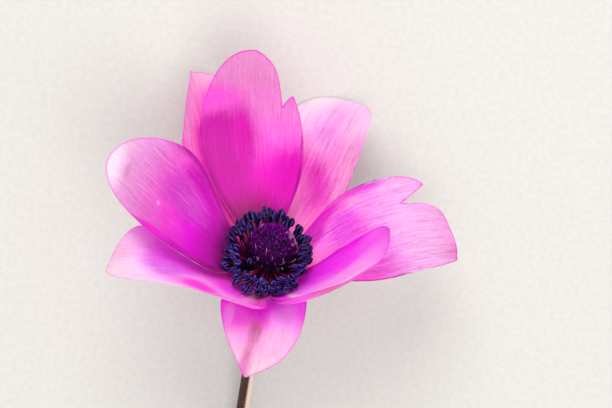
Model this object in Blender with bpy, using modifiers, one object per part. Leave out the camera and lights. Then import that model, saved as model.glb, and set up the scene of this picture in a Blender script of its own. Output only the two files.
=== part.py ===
"""A single anemone flower, cut and laid down: eight petals, a ring of stamens, a pistil head and a stem."""
import math

import bmesh
import bpy
from mathutils import Matrix, Vector

MM = 0.001

# How the flower lies, in degrees and mm.
HEAD_TILT = 40.0            # flower axis above the table
HEAD_SPIN = -6.0            # turn about the axis that lets two back petals share the load
HEAD_X, HEAD_Y = -2.09, 17.5  # receptacle's place, with the middle of the whole flower over the origin
STEM_LENGTH = 85.0
STEM_RADIUS = 1.35
STEM_CUT_RADIUS = 1.5
NECK_STRAIGHT = 7.0         # straight run under the head before the stem bends to the table

# Petals.
PETAL_THICKNESS = 0.4
PETAL_BASE_RADIUS = 3.4
PETAL_COLUMNS = 14
PETAL_ROWS = 16
LOW_PART_POWER = 1.3

# Receptacle (the widened top of the stem) and pistil head, as (height, radius) along the axis.
RECEPTACLE = ((-6.0, 1.4), (-3.2, 1.9), (-1.6, 2.7), (0.2, 2.9), (1.4, 2.8), (1.9, 2.2))
PISTIL_STALK_RADIUS = 2.4
PISTIL_STALK = (2.3, 4.6)
PISTIL_RADIUS = 4.5
PISTIL_MIDDLE = 7.2
PISTIL_TOP = 11.5

# Stamens: three whorls of (foot height, anther radius from the axis, anther height).
STAMENS_PER_WHORL = 16
WHORLS = ((4.2, 7.0, 8.6), (3.45, 8.3, 7.1), (2.7, 9.5, 5.7))
FILAMENT_FOOT_RADIUS = 3.3
FILAMENT_RADIUS = 0.2
ANTHER_LENGTH = 2.0
ANTHER_RADIUS = 0.7
STAMEN_LIFT = 2.3           # extra height in front of the upright petals
LIFT_SPREAD = 42.0
LIFT_AZIMUTHS = (97.0, 184.0, 322.0)
STAMEN_SIDES = 6
STEM_SIDES = 16

# One entry per petal. turn is the direction it grows in, rise its slope at foot, middle and tip,
# left and right the half width with the station where it is reached and the two powers of the tip curve.
PETALS = {
    "petal_top": dict(
        turn=106.5, length=44, claw=1.9, level=0.9,
        rise=(14, 61, 81), sway=20, lean=-16, twist=-15,
        left=(11.61, 0.57, 1.52, 2.21), right=(10.16, 0.48, 2.3, 1.24),
        cup_left=(37, 20, 3), cup_right=(36, 41, 7),
        notch=(-0.55, 0.17, 0.17, 0.16)),
    "petal_top_left": dict(
        turn=116.8, length=43.2, claw=2.2, level=-0.9,
        rise=(0, 42, 21), sway=8, lean=11, twist=27,
        left=(13.86, 0.64, 1, 2.22), right=(11.1, 0.63, 2.27, 2.09),
        cup_left=(23, 3, 21), cup_right=(27, 18, 16)),
    "petal_top_right": dict(
        turn=85.4, length=40.9, claw=2.2, level=-0.15,
        rise=(3, 38, 8), sway=-21, lean=-9, twist=-9,
        left=(8.9, 0.65, 2.77, 1.96), right=(12.66, 0.51, 3.84, 2.81),
        cup_left=(28, 24, 18), cup_right=(25, 33, 38)),
    "petal_right": dict(
        turn=26.3, length=37.1, claw=2.2, level=0,
        rise=(17, 33, -28), sway=6, lean=17, twist=-4,
        left=(10.77, 0.55, 2.85, 1.66), right=(11.98, 0.55, 3.38, 3.2),
        cup_left=(40, 50, 41), cup_right=(40, 42, 17),
        notch=(0.44, 0.24, 0.14, 0.31), roll_left=(40, 25, 0)),
    "petal_front_right": dict(
        turn=-32.5, length=35.4, claw=2.2, level=0.9,
        rise=(23, 75, 69), sway=35, lean=-1, twist=10,
        left=(6.91, 0.39, 1.28, 1.79), right=(13.32, 0.39, 3.04, 2.71),
        cup_left=(22, 47, 36), cup_right=(20, 42, 49),
        roll_right=(20, 45, 30)),
    "petal_front": dict(
        turn=271.9, length=31.1, claw=2.3, level=-0.9,
        rise=(17, 17, 23), sway=-7, lean=6, twist=-1,
        left=(9.22, 0.25, 2.4, 1.34), right=(8.18, 0.3, 1.45, 1.04),
        cup_left=(35, 32, 5), cup_right=(29, 32, 5),
        groove=0.5),
    "petal_low_left": dict(
        turn=212.8, length=35.7, claw=2.5, level=0,
        rise=(24, 45, 6), sway=3, lean=-1, twist=24,
        left=(16.17, 0.29, 1.34, 2), right=(13.26, 0.57, 1.49, 1),
        cup_left=(26, 14, 34), cup_right=(-9, 2, 22),
        roll_left=(50, 25, 0)),
    "petal_left": dict(
        turn=184, length=38.6, claw=1.9, level=1.2,
        rise=(21, 50, 42), sway=-6, lean=-1, twist=-9,
        left=(10.02, 0.33, 2.18, 1.91), right=(13.43, 0.61, 1.67, 1.99),
        cup_left=(38, 56, 18), cup_right=(33, 58, 24)),
}

COLOURS = {
    "petal": (0.83, 0.13, 0.62),
    "anther": (0.03, 0.03, 0.16),
    "pistil": (0.07, 0.005, 0.11),
    "stem": (0.22, 0.13, 0.09),
}


def clamp(value, low=0.0, high=1.0):
    return min(max(value, low), high)


def along(values, u):
    """Quadratic blend of three values."""
    first, middle, last = values
    return (1 - u) ** 2 * first + 2 * u * (1 - u) * middle + u * u * last


def head_matrix(height):
    tilt = Matrix.Rotation(math.radians(HEAD_TILT - 90), 4, "X")
    spin = Matrix.Rotation(math.radians(HEAD_SPIN), 4, "Z")
    return Matrix.Translation((HEAD_X * MM, HEAD_Y * MM, height * MM)) @ tilt @ spin


def midrib(petal, steps=80):
    """Points along the petal's middle line, from foot to tip."""
    angle = math.radians(petal["turn"])
    point = Vector((PETAL_BASE_RADIUS * math.cos(angle), PETAL_BASE_RADIUS * math.sin(angle), petal["level"]))
    points = [point.copy()]
    for step in range(steps):
        before = heading(petal, step / steps)
        after = heading(petal, (step + 1) / steps)
        point += (before + after) * (0.5 * petal["length"] / steps)
        points.append(point.copy())
    return points


def bearing(petal, u):
    return math.radians(petal["turn"] + petal["sway"] * u ** 1.5)


def heading(petal, u):
    rise = math.radians(along(petal["rise"], u))
    turn = bearing(petal, u)
    return Vector((math.cos(rise) * math.cos(turn), math.cos(rise) * math.sin(turn), math.sin(rise)))


def notch_cut(petal, v):
    """How much of the petal's length a notch takes away in this column."""
    if "notch" not in petal:
        return 0.0
    centre, depth, right, left = petal["notch"]
    away = (centre - v) / right if v < centre else (v - centre) / left
    return depth * clamp(1 - away) ** LOW_PART_POWER


def petal_point(petal, line, v, t):
    """Point of the petal's middle surface: v runs across from -1 to 1, t along from 0 to 1."""
    width, station, tip_power, tip_shape = petal["left"] if v > 0 else petal["right"]
    top = station + (1 - station) * clamp(1 - abs(v) ** tip_shape) ** (1 / tip_power)
    u = t * top * (1 - notch_cut(petal, v))
    swell = math.sin(math.pi / 2 * clamp(u / station)) ** LOW_PART_POWER
    half = petal["claw"] + (width - petal["claw"]) * swell

    cup = along(petal["cup_left" if v > 0 else "cup_right"], u)
    roll = along(petal.get("roll_left" if v > 0 else "roll_right", (0, 0, 0)), u)
    across = lift = 0.0
    samples = 10
    for sample in range(samples):
        part = v * (sample + 0.5) / samples
        angle = math.radians(cup * part + roll * part ** 5)
        across += v * half * math.cos(angle) / samples
        lift += v * half * math.sin(angle) / samples
    lift -= petal.get("groove", 0.0) * math.exp(-(v / 0.16) ** 2) * clamp(u * 4)

    position = u * (len(line) - 1)
    index = min(int(position), len(line) - 2)
    centre = line[index].lerp(line[index + 1], position - index)
    turn = bearing(petal, u)
    side = Vector((-math.sin(turn), math.cos(turn), 0))
    normal = heading(petal, u).cross(side)
    lean = math.radians(petal["lean"] + petal["twist"] * u)
    leaned_side = side * math.cos(lean) + normal * math.sin(lean)
    leaned_normal = normal * math.cos(lean) - side * math.sin(lean)
    return centre + leaned_side * across + leaned_normal * lift


def column_positions(petal):
    """Where the grid's columns stand across the petal, closer together near the edges."""
    places = []
    for column in range(PETAL_COLUMNS + 1):
        s = 2 * column / PETAL_COLUMNS - 1
        places.append(0.5 * s + 0.5 * math.sin(math.pi / 2 * s))
    if "notch" in petal:
        centre = petal["notch"][0]
        nearest = min(range(len(places)), key=lambda k: abs(places[k] - centre))
        places[nearest] = centre
    return places


def new_material(name, colour):
    material = bpy.data.materials.new(name)
    material.use_nodes = True
    shader = material.node_tree.nodes["Principled BSDF"]
    shader.inputs["Base Color"].default_value = (*colour, 1)
    shader.inputs["Roughness"].default_value = 0.6
    return material


def add_object(name, data, kind, collection, head=None):
    obj = bpy.data.objects.new(name, data)
    obj.parent = head
    collection.objects.link(obj)
    data.materials.append(new_material(name + "_material", COLOURS[kind]))
    return obj


def add_tube(name, stations, sides, kind, collection, head=None):
    """Round bar through (point, radius) stations, both in mm, with filled ends."""
    curve = bpy.data.curves.new(name, "CURVE")
    curve.dimensions = "3D"
    curve.bevel_depth = MM
    curve.bevel_resolution = sides // 2 - 2
    curve.use_fill_caps = True
    spline = curve.splines.new("POLY")
    spline.points.add(len(stations) - 1)
    for point, (centre, radius) in zip(spline.points, stations):
        point.co = (*(centre * MM), 1)
        point.radius = radius
    return add_object(name, curve, kind, collection, head)


def build_petal(name, petal, collection, head):
    builder = bmesh.new()
    bmesh.ops.create_grid(builder, x_segments=PETAL_COLUMNS, y_segments=PETAL_ROWS, size=1)
    line = midrib(petal)
    places = column_positions(petal)
    for vert in builder.verts:
        column = round((vert.co.x + 1) / 2 * PETAL_COLUMNS)
        t = (vert.co.y + 1) / 2
        vert.co = petal_point(petal, line, places[column], t) * MM
    mesh = bpy.data.meshes.new(name)
    builder.to_mesh(mesh)
    builder.free()
    mesh.shade_smooth()
    obj = add_object(name, mesh, "petal", collection, head)
    solid = obj.modifiers.new("thickness", "SOLIDIFY")
    solid.thickness = PETAL_THICKNESS * MM
    solid.offset = 0
    return obj


def stem_stations(height):
    """Points and radii down the stem, from the receptacle to the cut end."""
    tilt = math.radians(HEAD_TILT)
    axis = Vector((0, math.cos(tilt), math.sin(tilt)))
    origin = Vector((HEAD_X, HEAD_Y, height))
    stations = [(origin + axis * r, radius) for r, radius in reversed(RECEPTACLE)]
    bend_start = origin - axis * NECK_STRAIGHT
    bend_radius = (bend_start.z - STEM_CUT_RADIUS) / (1 - math.cos(tilt))
    steps = 16
    for step in range(steps + 1):
        slope = tilt * (1 - step / steps)
        back = bend_radius * (math.sin(tilt) - math.sin(slope))
        drop = bend_radius * (math.cos(slope) - math.cos(tilt))
        radius = STEM_RADIUS + (STEM_CUT_RADIUS - STEM_RADIUS) * step / steps
        stations.append((bend_start + Vector((0, -back, -drop)), radius))
    rest = STEM_LENGTH - NECK_STRAIGHT - bend_radius * tilt
    last = stations[-1][0]
    for part in (0.5, 1.0):
        stations.append((last + Vector((0, -rest * part, 0)), STEM_CUT_RADIUS))
    return stations


def build_pistil_head(collection, head):
    """Turned profile: a short stalk that widens into a dome."""
    low, high = PISTIL_STALK
    profile = [(0, low), (PISTIL_STALK_RADIUS, low), (PISTIL_STALK_RADIUS, high - 0.6)]
    for step in range(10):
        angle = math.radians(-60 + 15 * step)
        reach = PISTIL_MIDDLE - high if angle < 0 else PISTIL_TOP - PISTIL_MIDDLE
        profile.append((PISTIL_RADIUS * math.cos(angle), PISTIL_MIDDLE + reach * math.sin(angle)))
    profile.append((0, PISTIL_TOP))
    builder = bmesh.new()
    verts = [builder.verts.new((x * MM, 0, z * MM)) for x, z in reversed(profile)]
    for upper, lower in zip(verts[:-1], verts[1:]):
        builder.edges.new((upper, lower))
    mesh = bpy.data.meshes.new("pistil_head")
    builder.to_mesh(mesh)
    builder.free()
    obj = add_object("pistil_head", mesh, "pistil", collection, head)
    screw = obj.modifiers.new("turn", "SCREW")
    screw.steps = screw.render_steps = 24
    screw.use_merge_vertices = True
    screw.merge_threshold = 0.00001
    screw.use_smooth_shade = True
    return obj


def stamen_lift(azimuth):
    lift = 0.0
    for upright in LIFT_AZIMUTHS:
        away = (azimuth - upright + 180) % 360 - 180
        lift += STAMEN_LIFT * math.exp(-(away / LIFT_SPREAD) ** 2)
    return lift


def stamen_stations(azimuth, foot_height, anther_reach, anther_height):
    """Points and radii along a filament and its anther."""
    angle = math.radians(azimuth)
    out = Vector((math.cos(angle), math.sin(angle), 0))
    up = Vector((0, 0, 1))
    lift = stamen_lift(azimuth)
    foot = out * FILAMENT_FOOT_RADIUS + up * foot_height
    anther_axis = (out * 0.55 + up * 0.83).normalized()
    middle = out * (anther_reach - 0.25 * lift) + up * (anther_height + lift)
    base = middle - anther_axis * (ANTHER_LENGTH / 2)
    bend = foot.lerp(base, 0.5) + out * 1.1 - up * 0.2
    stations = []
    for u in (0.0, 0.3, 0.6, 0.85):
        centre = foot * (1 - u) ** 2 + bend * (2 * u * (1 - u)) + base * u * u
        stations.append((centre, FILAMENT_RADIUS))
    for part, radius in ((0.0, 0.35), (0.25, 0.92), (0.55, 1.0), (0.85, 0.7), (1.0, 0.25)):
        stations.append((base + anther_axis * (ANTHER_LENGTH * part), ANTHER_RADIUS * radius))
    return stations


def build_stamens(collection, head):
    number = 0
    for whorl, (foot_height, reach, height) in enumerate(WHORLS):
        for k in range(STAMENS_PER_WHORL):
            number += 1
            azimuth = 360 / STAMENS_PER_WHORL * (k + whorl / len(WHORLS))
            stations = stamen_stations(azimuth, foot_height, reach, height)
            add_tube("stamen_%02d" % number, stations, STAMEN_SIDES, "anther", collection, head)


def lowest_petal_point():
    """Lowest point of the turned petals in mm, with half their thickness, before the head is lifted."""
    place = head_matrix(0)
    lowest = 0.0
    for petal in PETALS.values():
        line = midrib(petal)
        for v in column_positions(petal):
            for row in range(PETAL_ROWS + 1):
                lowest = min(lowest, (place @ petal_point(petal, line, v, row / PETAL_ROWS)).z)
    return lowest - PETAL_THICKNESS / 2


def main():
    for obj in list(bpy.data.objects):
        bpy.data.objects.remove(obj, do_unlink=True)
    collection = bpy.data.collections.new("anemone_flower")
    bpy.context.scene.collection.children.link(collection)
    height = -lowest_petal_point()
    head = bpy.data.objects.new("flower_head", None)
    head.matrix_world = head_matrix(height)
    collection.objects.link(head)
    for name, petal in PETALS.items():
        build_petal(name, petal, collection, head)
    build_stamens(collection, head)
    build_pistil_head(collection, head)
    add_tube("stem", stem_stations(height), STEM_SIDES, "stem", collection)


main()
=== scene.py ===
import math
import random

import bpy
import numpy as np
from mathutils import Matrix, Vector


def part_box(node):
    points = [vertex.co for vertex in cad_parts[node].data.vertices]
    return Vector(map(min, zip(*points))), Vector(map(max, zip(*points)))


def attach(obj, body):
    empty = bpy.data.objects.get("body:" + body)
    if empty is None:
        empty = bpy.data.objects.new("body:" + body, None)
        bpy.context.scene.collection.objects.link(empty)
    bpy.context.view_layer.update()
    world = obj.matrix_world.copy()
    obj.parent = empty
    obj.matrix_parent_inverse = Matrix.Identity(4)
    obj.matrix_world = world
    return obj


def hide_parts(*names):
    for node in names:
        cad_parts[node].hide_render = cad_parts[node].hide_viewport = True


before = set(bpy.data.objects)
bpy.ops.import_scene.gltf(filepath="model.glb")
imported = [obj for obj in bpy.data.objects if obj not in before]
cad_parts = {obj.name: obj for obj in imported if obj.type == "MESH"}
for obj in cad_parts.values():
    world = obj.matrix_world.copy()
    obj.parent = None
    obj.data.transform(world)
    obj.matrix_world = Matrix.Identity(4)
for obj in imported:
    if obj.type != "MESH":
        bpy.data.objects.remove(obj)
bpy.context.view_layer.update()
mm = 0.001
scene = bpy.context.scene


def srgb(red, green, blue):
    # colour from 0 to 255 to the linear values that shaders use
    return tuple((c / 255 / 12.92) if c < 11 else ((c / 255 + 0.055) / 1.055) ** 2.4 for c in (red, green, blue))


def paint(red, green, blue):
    return (*srgb(red, green, blue), 1)


class Wire:
    # one output socket, so that node maths reads as arithmetic
    def __init__(self, net, socket):
        self.net, self.socket = net, socket

    def math(self, operation, *values):
        return self.net.add("ShaderNodeMath", {"operation": operation}, dict(enumerate((self, *values))))

    def __add__(self, other):
        return self.math("ADD", other)

    def __sub__(self, other):
        return self.math("SUBTRACT", other)

    def __rsub__(self, other):
        return self.net.add("ShaderNodeMath", {"operation": "SUBTRACT"}, {0: other, 1: self})

    def __mul__(self, other):
        return self.math("MULTIPLY", other)

    __radd__ = __add__
    __rmul__ = __mul__

    def between(self, low, high):
        # 0 at low, 1 at high, with a soft step between them
        return self.net.add("ShaderNodeMapRange", {"interpolation_type": "SMOOTHSTEP"},
                            {"Value": self, "From Min": low, "From Max": high})


class Net:
    # a node tree for a material or for Geometry Nodes
    def __init__(self, tree):
        self.tree = tree

    def add(self, kind, settings=None, sockets=None, out=0):
        node = self.tree.nodes.new(kind)
        for key, value in (settings or {}).items():
            setattr(node, key, value)
        for key, value in (sockets or {}).items():
            socket = node.inputs[key] if isinstance(key, int) else self.socket(node.inputs, key)
            if isinstance(value, Wire):
                self.tree.links.new(value.socket, socket)
            else:
                socket.default_value = value
        return Wire(self, node.outputs[out] if isinstance(out, int) else self.socket(node.outputs, out))

    def socket(self, sockets, key):
        return next(s for s in sockets if s.enabled and key in (s.identifier, s.name))

    def other(self, wire, out):
        return Wire(self, self.socket(wire.socket.node.outputs, out))

    def mixColour(self, factor, first, second):
        return self.add("ShaderNodeMix", {"data_type": "RGBA"}, {"Factor": factor, "A": first, "B": second}, "Result")

    def vector(self, across, along, depth):
        return self.add("ShaderNodeCombineXYZ", {}, {"X": across, "Y": along, "Z": depth})

    def inObject(self):
        return self.add("ShaderNodeTexCoord", {}, {}, "Object")

    def noise(self, place, scale, detail=2.0, roughness=0.5):
        return self.add("ShaderNodeTexNoise", {"noise_dimensions": "3D"},
                        {"Vector": place, "Scale": scale, "Detail": detail, "Roughness": roughness}, "Fac")

    def attribute(self, name, out="Fac"):
        return self.add("ShaderNodeAttribute", {"attribute_name": name}, {}, out)

    def deeper(self, colour, power):
        return self.add("ShaderNodeGamma", {}, {"Color": colour, "Gamma": power})

    def bump(self, height, strength, depth):
        return self.add("ShaderNodeBump", {}, {"Strength": strength, "Distance": depth, "Height": height})

    def random(self, low, high, seed):
        return self.add("FunctionNodeRandomValue", {"data_type": "FLOAT"},
                        {"Min": low, "Max": high, "Seed": seed}, "Value")

    def stored(self, kind, name):
        return self.add("GeometryNodeInputNamedAttribute", {"data_type": kind}, {"Name": name}, "Attribute")

    def store(self, geometry, domain, name, value):
        return self.add("GeometryNodeStoreNamedAttribute", {"data_type": "FLOAT", "domain": domain},
                        {"Geometry": geometry, "Name": name, "Value": value})


def newMaterial(name):
    material = bpy.data.materials.new(name)
    material.use_nodes = True
    material.node_tree.nodes.clear()
    return material, Net(material.node_tree)


def finishMaterial(net, sockets):
    shader = net.add("ShaderNodeBsdfPrincipled", {"subsurface_method": "RANDOM_WALK"}, sockets)
    output = net.tree.nodes.new("ShaderNodeOutputMaterial")
    net.tree.links.new(shader.socket, output.inputs["Surface"])


def newPiece(name, points, faces, material=None):
    # a smooth mesh object at the origin, with its points in metres
    mesh = bpy.data.meshes.new(name)
    mesh.from_pydata([tuple(p) for p in points], [], [tuple(f) for f in faces])
    mesh.update()
    mesh.shade_smooth()
    if material:
        mesh.materials.append(material)
    piece = bpy.data.objects.new(name, mesh)
    scene.collection.objects.link(piece)
    return piece


def setNumbers(mesh, name, values):
    mesh.attributes.new(name, "FLOAT", "POINT").data.foreach_set("value", np.asarray(values, np.float32).ravel())


def setColours(mesh, name, values):
    full = np.ones((len(values), 4), np.float32)
    full[:, :3] = values
    mesh.color_attributes.new(name, "FLOAT_COLOR", "POINT").data.foreach_set("color", full.ravel())


def setPlan(mesh, name, plan):
    # a UV map from one place for each point
    corners = np.zeros(len(mesh.loops), np.int32)
    mesh.loops.foreach_get("vertex_index", corners)
    mesh.uv_layers.new(name=name).data.foreach_set("uv", np.asarray(plan, np.float32)[corners].ravel())


def smooth(low, high, values):
    part = np.clip((values - low) / (high - low), 0, 1)
    return part * part * (3 - 2 * part)


def bandFaces(count, around, first=0, downwards=False):
    # quads between rings of points, with the rings' point numbers and the same ones turned by one place
    at = np.arange(count * around).reshape(count, around)[first:]
    nextAt = np.roll(at, -1, 1)
    corners = (at[:-1], at[1:], nextAt[1:], nextAt[:-1]) if downwards else (at[:-1], nextAt[:-1], nextAt[1:], at[1:])
    return np.stack(corners, -1).reshape(-1, 4).tolist(), at, nextAt


# how the head lies, the same as in the CAD part
headMake = {"tilt": 40.0, "spin": -6.0}
headTilt = math.radians(headMake["tilt"])
headTurn = (Matrix.Rotation(math.radians(headMake["tilt"] - 90), 3, "X")
            @ Matrix.Rotation(math.radians(headMake["spin"]), 3, "Z"))
headArray = np.array(headTurn)

petalMake = {
    "columns": 96, "columnMix": (0.45, 0.55), "rows": 120, "rowCrowding": 1.15, "seed": 40, "noiseShift": 7.3,
    "notchColumns": (-0.05, -0.035, -0.02, -0.01, -0.004, 0, 0.004, 0.01, 0.02, 0.035, 0.05),
    "baseRadius": 3.4, "lowPartPower": 1.3, "swayPower": 1.5, "rollPower": 5, "grooveWidth": 0.16,
    "bodyThickness": 0.34, "rimThickness": 0.1, "rimWidth": 2.4, "floorGap": 0.00003,
    "veinHeight": 0.014, "veinPitch": (18, 60, 3), "ruffle": 0.16, "rufflePitch": (2, 7, 9),
    "shadePlaces": (0.12, 0.25, 0.4, 0.55, 0.7, 0.85, 1),
    # the foot colours are painted shade on the feet of the front and left petals, under the stamens
    "footShadowPlaces": (0, 0.08), "footShadowColours": ((20, 2, 30), (70, 6, 66)),
    "patchCore": 0.45, "patchEdge": 1.25,
    "outerShade": (246, 190, 226), "outerPale": 0.45, "outerVeining": 0.9, "outerFoot": 0.13,
}

# lengths in mm and angles in degrees; rise and cup are (foot, middle, tip), the two sides are (half width, widest
# place, tip power, tip shape), shades run from foot to tip, patches are (colour, across, along, wide, long); the
# shades and patches hold the petals' own colours with painted shade and light mixed in
petals = {
    "petal_top": dict(
        turn=106.5, length=44, claw=1.9, footLines=0.12, midrib=0.55, veining=0.5, paintedRimGlow=0.9, level=0.9,
        rise=(14, 61, 81), sway=20, lean=-16, twist=-15, left=(11.61, 0.57, 1.52, 2.21),
        right=(10.16, 0.48, 2.3, 1.24), cupLeft=(37, 20, 3), cupRight=(36, 41, 7), notch=(-0.535, 0.184, -0.23, 0.06),
        shades=((89, 8, 80), (170, 0, 118), (244, 27, 203), (246, 104, 214), (224, 121, 199), (217, 124, 188),
            (219, 143, 194)),
        # the deep magenta patches include painted shadow where petal_top_left lies behind this petal
        patches=(((190, 2, 154), 0.68, 0.51, 0.83, 0.29), ((91, 3, 70), 1.15, 0.14, 0.29, 0.47),
            ((216, 7, 178), -0.85, 0.36, 0.9, 0.19), ((112, 2, 90), -1.01, 0.36, 0.1, 0.27),
            ((232, 78, 201), 1.05, 0.75, 0.9, 0.08), ((206, 5, 167), 0.25, 0.57, 0.21, 0.15),
            ((209, 55, 168), -1.03, 0.48, 0.1, 0.13))),
    "petal_top_left": dict(
        turn=116.8, length=43.2, claw=2.2, footLines=0.8, veining=0.7, paintedRimGlow=0.5, level=-0.9, rise=(0, 42, 21),
        sway=8, lean=11, twist=27, left=(13.86, 0.64, 1, 2.22), right=(11.1, 0.63, 5, 2.09),
        corner=(0.33, 0.024, 0.08), cupLeft=(23, 3, 21), cupRight=(27, 18, 16),
        shades=((232, 57, 170), (237, 56, 174), (251, 27, 204), (255, 69, 208), (252, 39, 197), (255, 135, 215),
            (244, 179, 217)),
        patches=(((227, 123, 194), 0.84, 0.9, 0.26, 0.42), ((254, 29, 211), -0.37, 0.8, 0.87, 0.13),
            ((224, 134, 195), 0.73, 1.0, 0.5, 0.27), ((237, 109, 198), -0.05, 0.62, 0.38, 0.12),
            ((237, 112, 199), 0.22, 0.64, 0.27, 0.13), ((237, 112, 199), 0.22, 0.63, 0.27, 0.13),
            ((238, 117, 201), 0.18, 0.66, 0.27, 0.13))),
    "petal_top_right": dict(
        turn=85.4, length=40.9, claw=2.2, footLines=1, veining=0.9, paintedRimGlow=0.1, level=-0.15, rise=(3, 38, 8),
        sway=-21, lean=-9, twist=-9, left=(8.9, 0.65, 2.77, 1.96), right=(12.66, 0.51, 3.84, 2.81),
        cupLeft=(28, 24, 18), cupRight=(25, 33, 38),
        shades=((251, 130, 230), (255, 124, 225), (238, 86, 199), (234, 146, 207), (230, 137, 205), (240, 194, 231),
            (233, 182, 225)),
        patches=(((217, 43, 183), 0.01, 0.45, 0.75, 0.21), ((255, 139, 220), 0.05, 0.19, 0.47, 0.35),
            ((228, 157, 218), 0.05, 0.85, 0.64, 0.12), ((223, 203, 215), 0.73, 1.15, 0.9, 0.38),
            ((221, 136, 211), -0.12, 0.74, 0.36, 0.08), ((239, 142, 212), -0.9, 0.46, 0.2, 0.11),
            ((235, 154, 208), -0.84, 0.63, 0.1, 0.12))),
    "petal_right": dict(
        turn=26.3, length=37.1, claw=2.2, footLines=0.45, veining=0.85, paintedRimGlow=0.9, level=0, rise=(17, 33, -28),
        sway=6, lean=17, twist=-4, left=(10.77, 0.55, 2.85, 1.66), right=(11.98, 0.55, 3.38, 3.2),
        corner=(-0.85, 0.026, 0.07), cupLeft=(40, 50, 41), cupRight=(40, 42, 17), notch=(0.43, 0.235, 0.31, 0.07),
        rollLeft=(40, 25, 0),
        shades=((243, 120, 178), (255, 108, 234), (240, 150, 201), (219, 129, 211), (220, 159, 212), (220, 156, 210),
            (221, 140, 199)),
        patches=(((215, 9, 180), 0.85, 0.29, 0.18, 0.17), ((201, 4, 181), 0.64, 0.17, 0.36, 0.18),
            ((203, 100, 170), -0.69, 1.12, 0.23, 0.31), ((207, 80, 189), -0.49, 0.39, 0.87, 0.21),
            ((214, 66, 202), 0.3, 0.4, 0.51, 0.13), ((219, 70, 199), 0.92, 0.52, 0.1, 0.14),
            ((246, 76, 198), -1.15, 0.37, 0.37, 0.11))),
    "petal_front_right": dict(
        turn=-32.5, length=35.4, claw=2.2, clawRight=4.2, footLines=0.1, veining=0.4, paintedRimGlow=0.6, outerPale=0.08,
        level=0.9, rise=(23, 75, 69), sway=35, lean=-1, twist=10, left=(6.91, 0.39, 1.28, 1.79),
        right=(13.32, 0.39, 3.04, 2.71), cupLeft=(22, 47, 36), cupRight=(20, 42, 49), rollRight=(20, 45, 30),
        shadedFoot=True,
        shades=((254, 39, 255), (255, 33, 251), (255, 54, 250), (255, 65, 247), (255, 93, 249), (252, 95, 244),
            (217, 88, 210)),
        patches=(((198, 19, 150), -1.03, 0.17, 0.24, 0.34), ((255, 159, 244), -0.36, 0.59, 0.47, 0.41),
            ((238, 1, 210), 1.15, 0.34, 0.3, 0.6), ((222, 67, 171), -0.93, 0.81, 0.36, 0.28),
            ((252, 8, 198), 0.89, 0.12, 0.75, 0.08), ((253, 0, 237), 0.89, 0.81, 0.35, 0.4),
            ((255, 83, 245), 0.16, 0.43, 0.13, 0.22), ((255, 200, 234), -0.48, 0.5, 0.11, 0.42))),
    "petal_front": dict(
        turn=271.9, length=31.1, claw=2.3, footLines=0, veining=0.6, paintedRimGlow=0.7, level=-0.9, rise=(17, 17, 23),
        sway=-7, lean=6, twist=-1, left=(9.22, 0.25, 2.4, 1.34), right=(8.18, 0.3, 1.45, 1.04), cupLeft=(35, 32, 5),
        cupRight=(29, 32, 5), groove=0.5, shadedFoot=True,
        shades=((253, 96, 245), (255, 43, 255), (255, 127, 231), (242, 163, 227), (232, 180, 217), (234, 193, 214),
            (224, 202, 210)),
        patches=(((214, 127, 181), -0.1, 1.07, 0.17, 0.6), ((255, 177, 255), 0.56, 0.38, 0.38, 0.2),
            ((255, 114, 254), -0.63, 0.38, 0.39, 0.12), ((255, 173, 255), -0.73, 0.39, 0.14, 0.13),
            ((203, 124, 174), -0.04, 0.52, 0.18, 0.15), ((254, 107, 252), 1.15, 0.31, 0.43, 0.11),
            ((237, 185, 221), 0.47, 0.59, 0.44, 0.15))),
    "petal_low_left": dict(
        turn=212.8, length=35.7, claw=2.5, clawLeft=5.5, footLines=0.6, veining=0.7, paintedRimGlow=0.35, outerPale=0.3,
        level=0, rise=(24, 45, 6), sway=3, lean=-1, twist=24, left=(16.17, 0.29, 1.34, 2),
        right=(13.26, 0.57, 1.49, 1), cupLeft=(26, 14, 34), cupRight=(-9, 2, 22), rollLeft=(50, 25, 0), shadedFoot=True,
        shades=((230, 60, 200), (254, 11, 225), (255, 78, 216), (255, 103, 251), (255, 193, 253), (238, 200, 235),
            (226, 192, 210)),
        patches=(((240, 120, 214), 0.85, 0.58, 0.3, 0.16), ((244, 204, 234), 0.72, 0.94, 0.5, 0.3),
            ((222, 103, 227), 0.07, 0.61, 0.6, 0.18), ((255, 159, 240), 0.43, 0.24, 0.32, 0.57),
            ((254, 51, 236), 0.31, 0.18, 0.31, 0.24), ((249, 61, 215), 0.46, 0.54, 0.23, 0.13),
            ((221, 163, 198), -0.44, 1.15, 0.4, 0.43), ((255, 73, 255), -0.29, 0.41, 0.43, 0.24))),
    "petal_left": dict(
        turn=184, length=38.6, claw=1.9, footLines=0.06, veining=0.6, paintedRimGlow=0.65, level=1.2, rise=(21, 50, 42),
        sway=-6, lean=-1, twist=-9, left=(10.02, 0.33, 2.18, 1.91), right=(13.43, 0.61, 1.67, 1.99),
        cupLeft=(38, 56, 18), cupRight=(33, 58, 24), shadedFoot=True,
        shades=((33, 5, 15), (179, 3, 158), (217, 4, 205), (223, 55, 194), (212, 99, 187), (213, 141, 200),
            (216, 179, 203)),
        patches=(((130, 3, 103), 0.86, 0.33, 0.21, 0.6), ((133, 5, 101), -0.99, 0.35, 0.1, 0.36),
            ((197, 3, 181), 0.77, 0.5, 0.17, 0.21), ((197, 57, 184), -0.44, 0.49, 0.35, 0.18),
            ((173, 0, 142), -1.03, 0.78, 0.14, 0.32), ((224, 26, 197), 0.75, 0.63, 0.15, 0.11),
            ((189, 3, 166), -0.8, 0.43, 0.16, 0.17), ((234, 206, 226), 0.1, 1.0, 0.6, 0.11),
            ((204, 136, 186), -0.08, 0.87, 0.2, 0.018), ((226, 150, 206), -0.03, 0.63, 0.035, 0.014))),
}


def along(values, u):
    # a value for the foot, the middle and the tip as one soft curve
    return (1 - u) ** 2 * values[0] + 2 * u * (1 - u) * values[1] + u * u * values[2]


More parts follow.
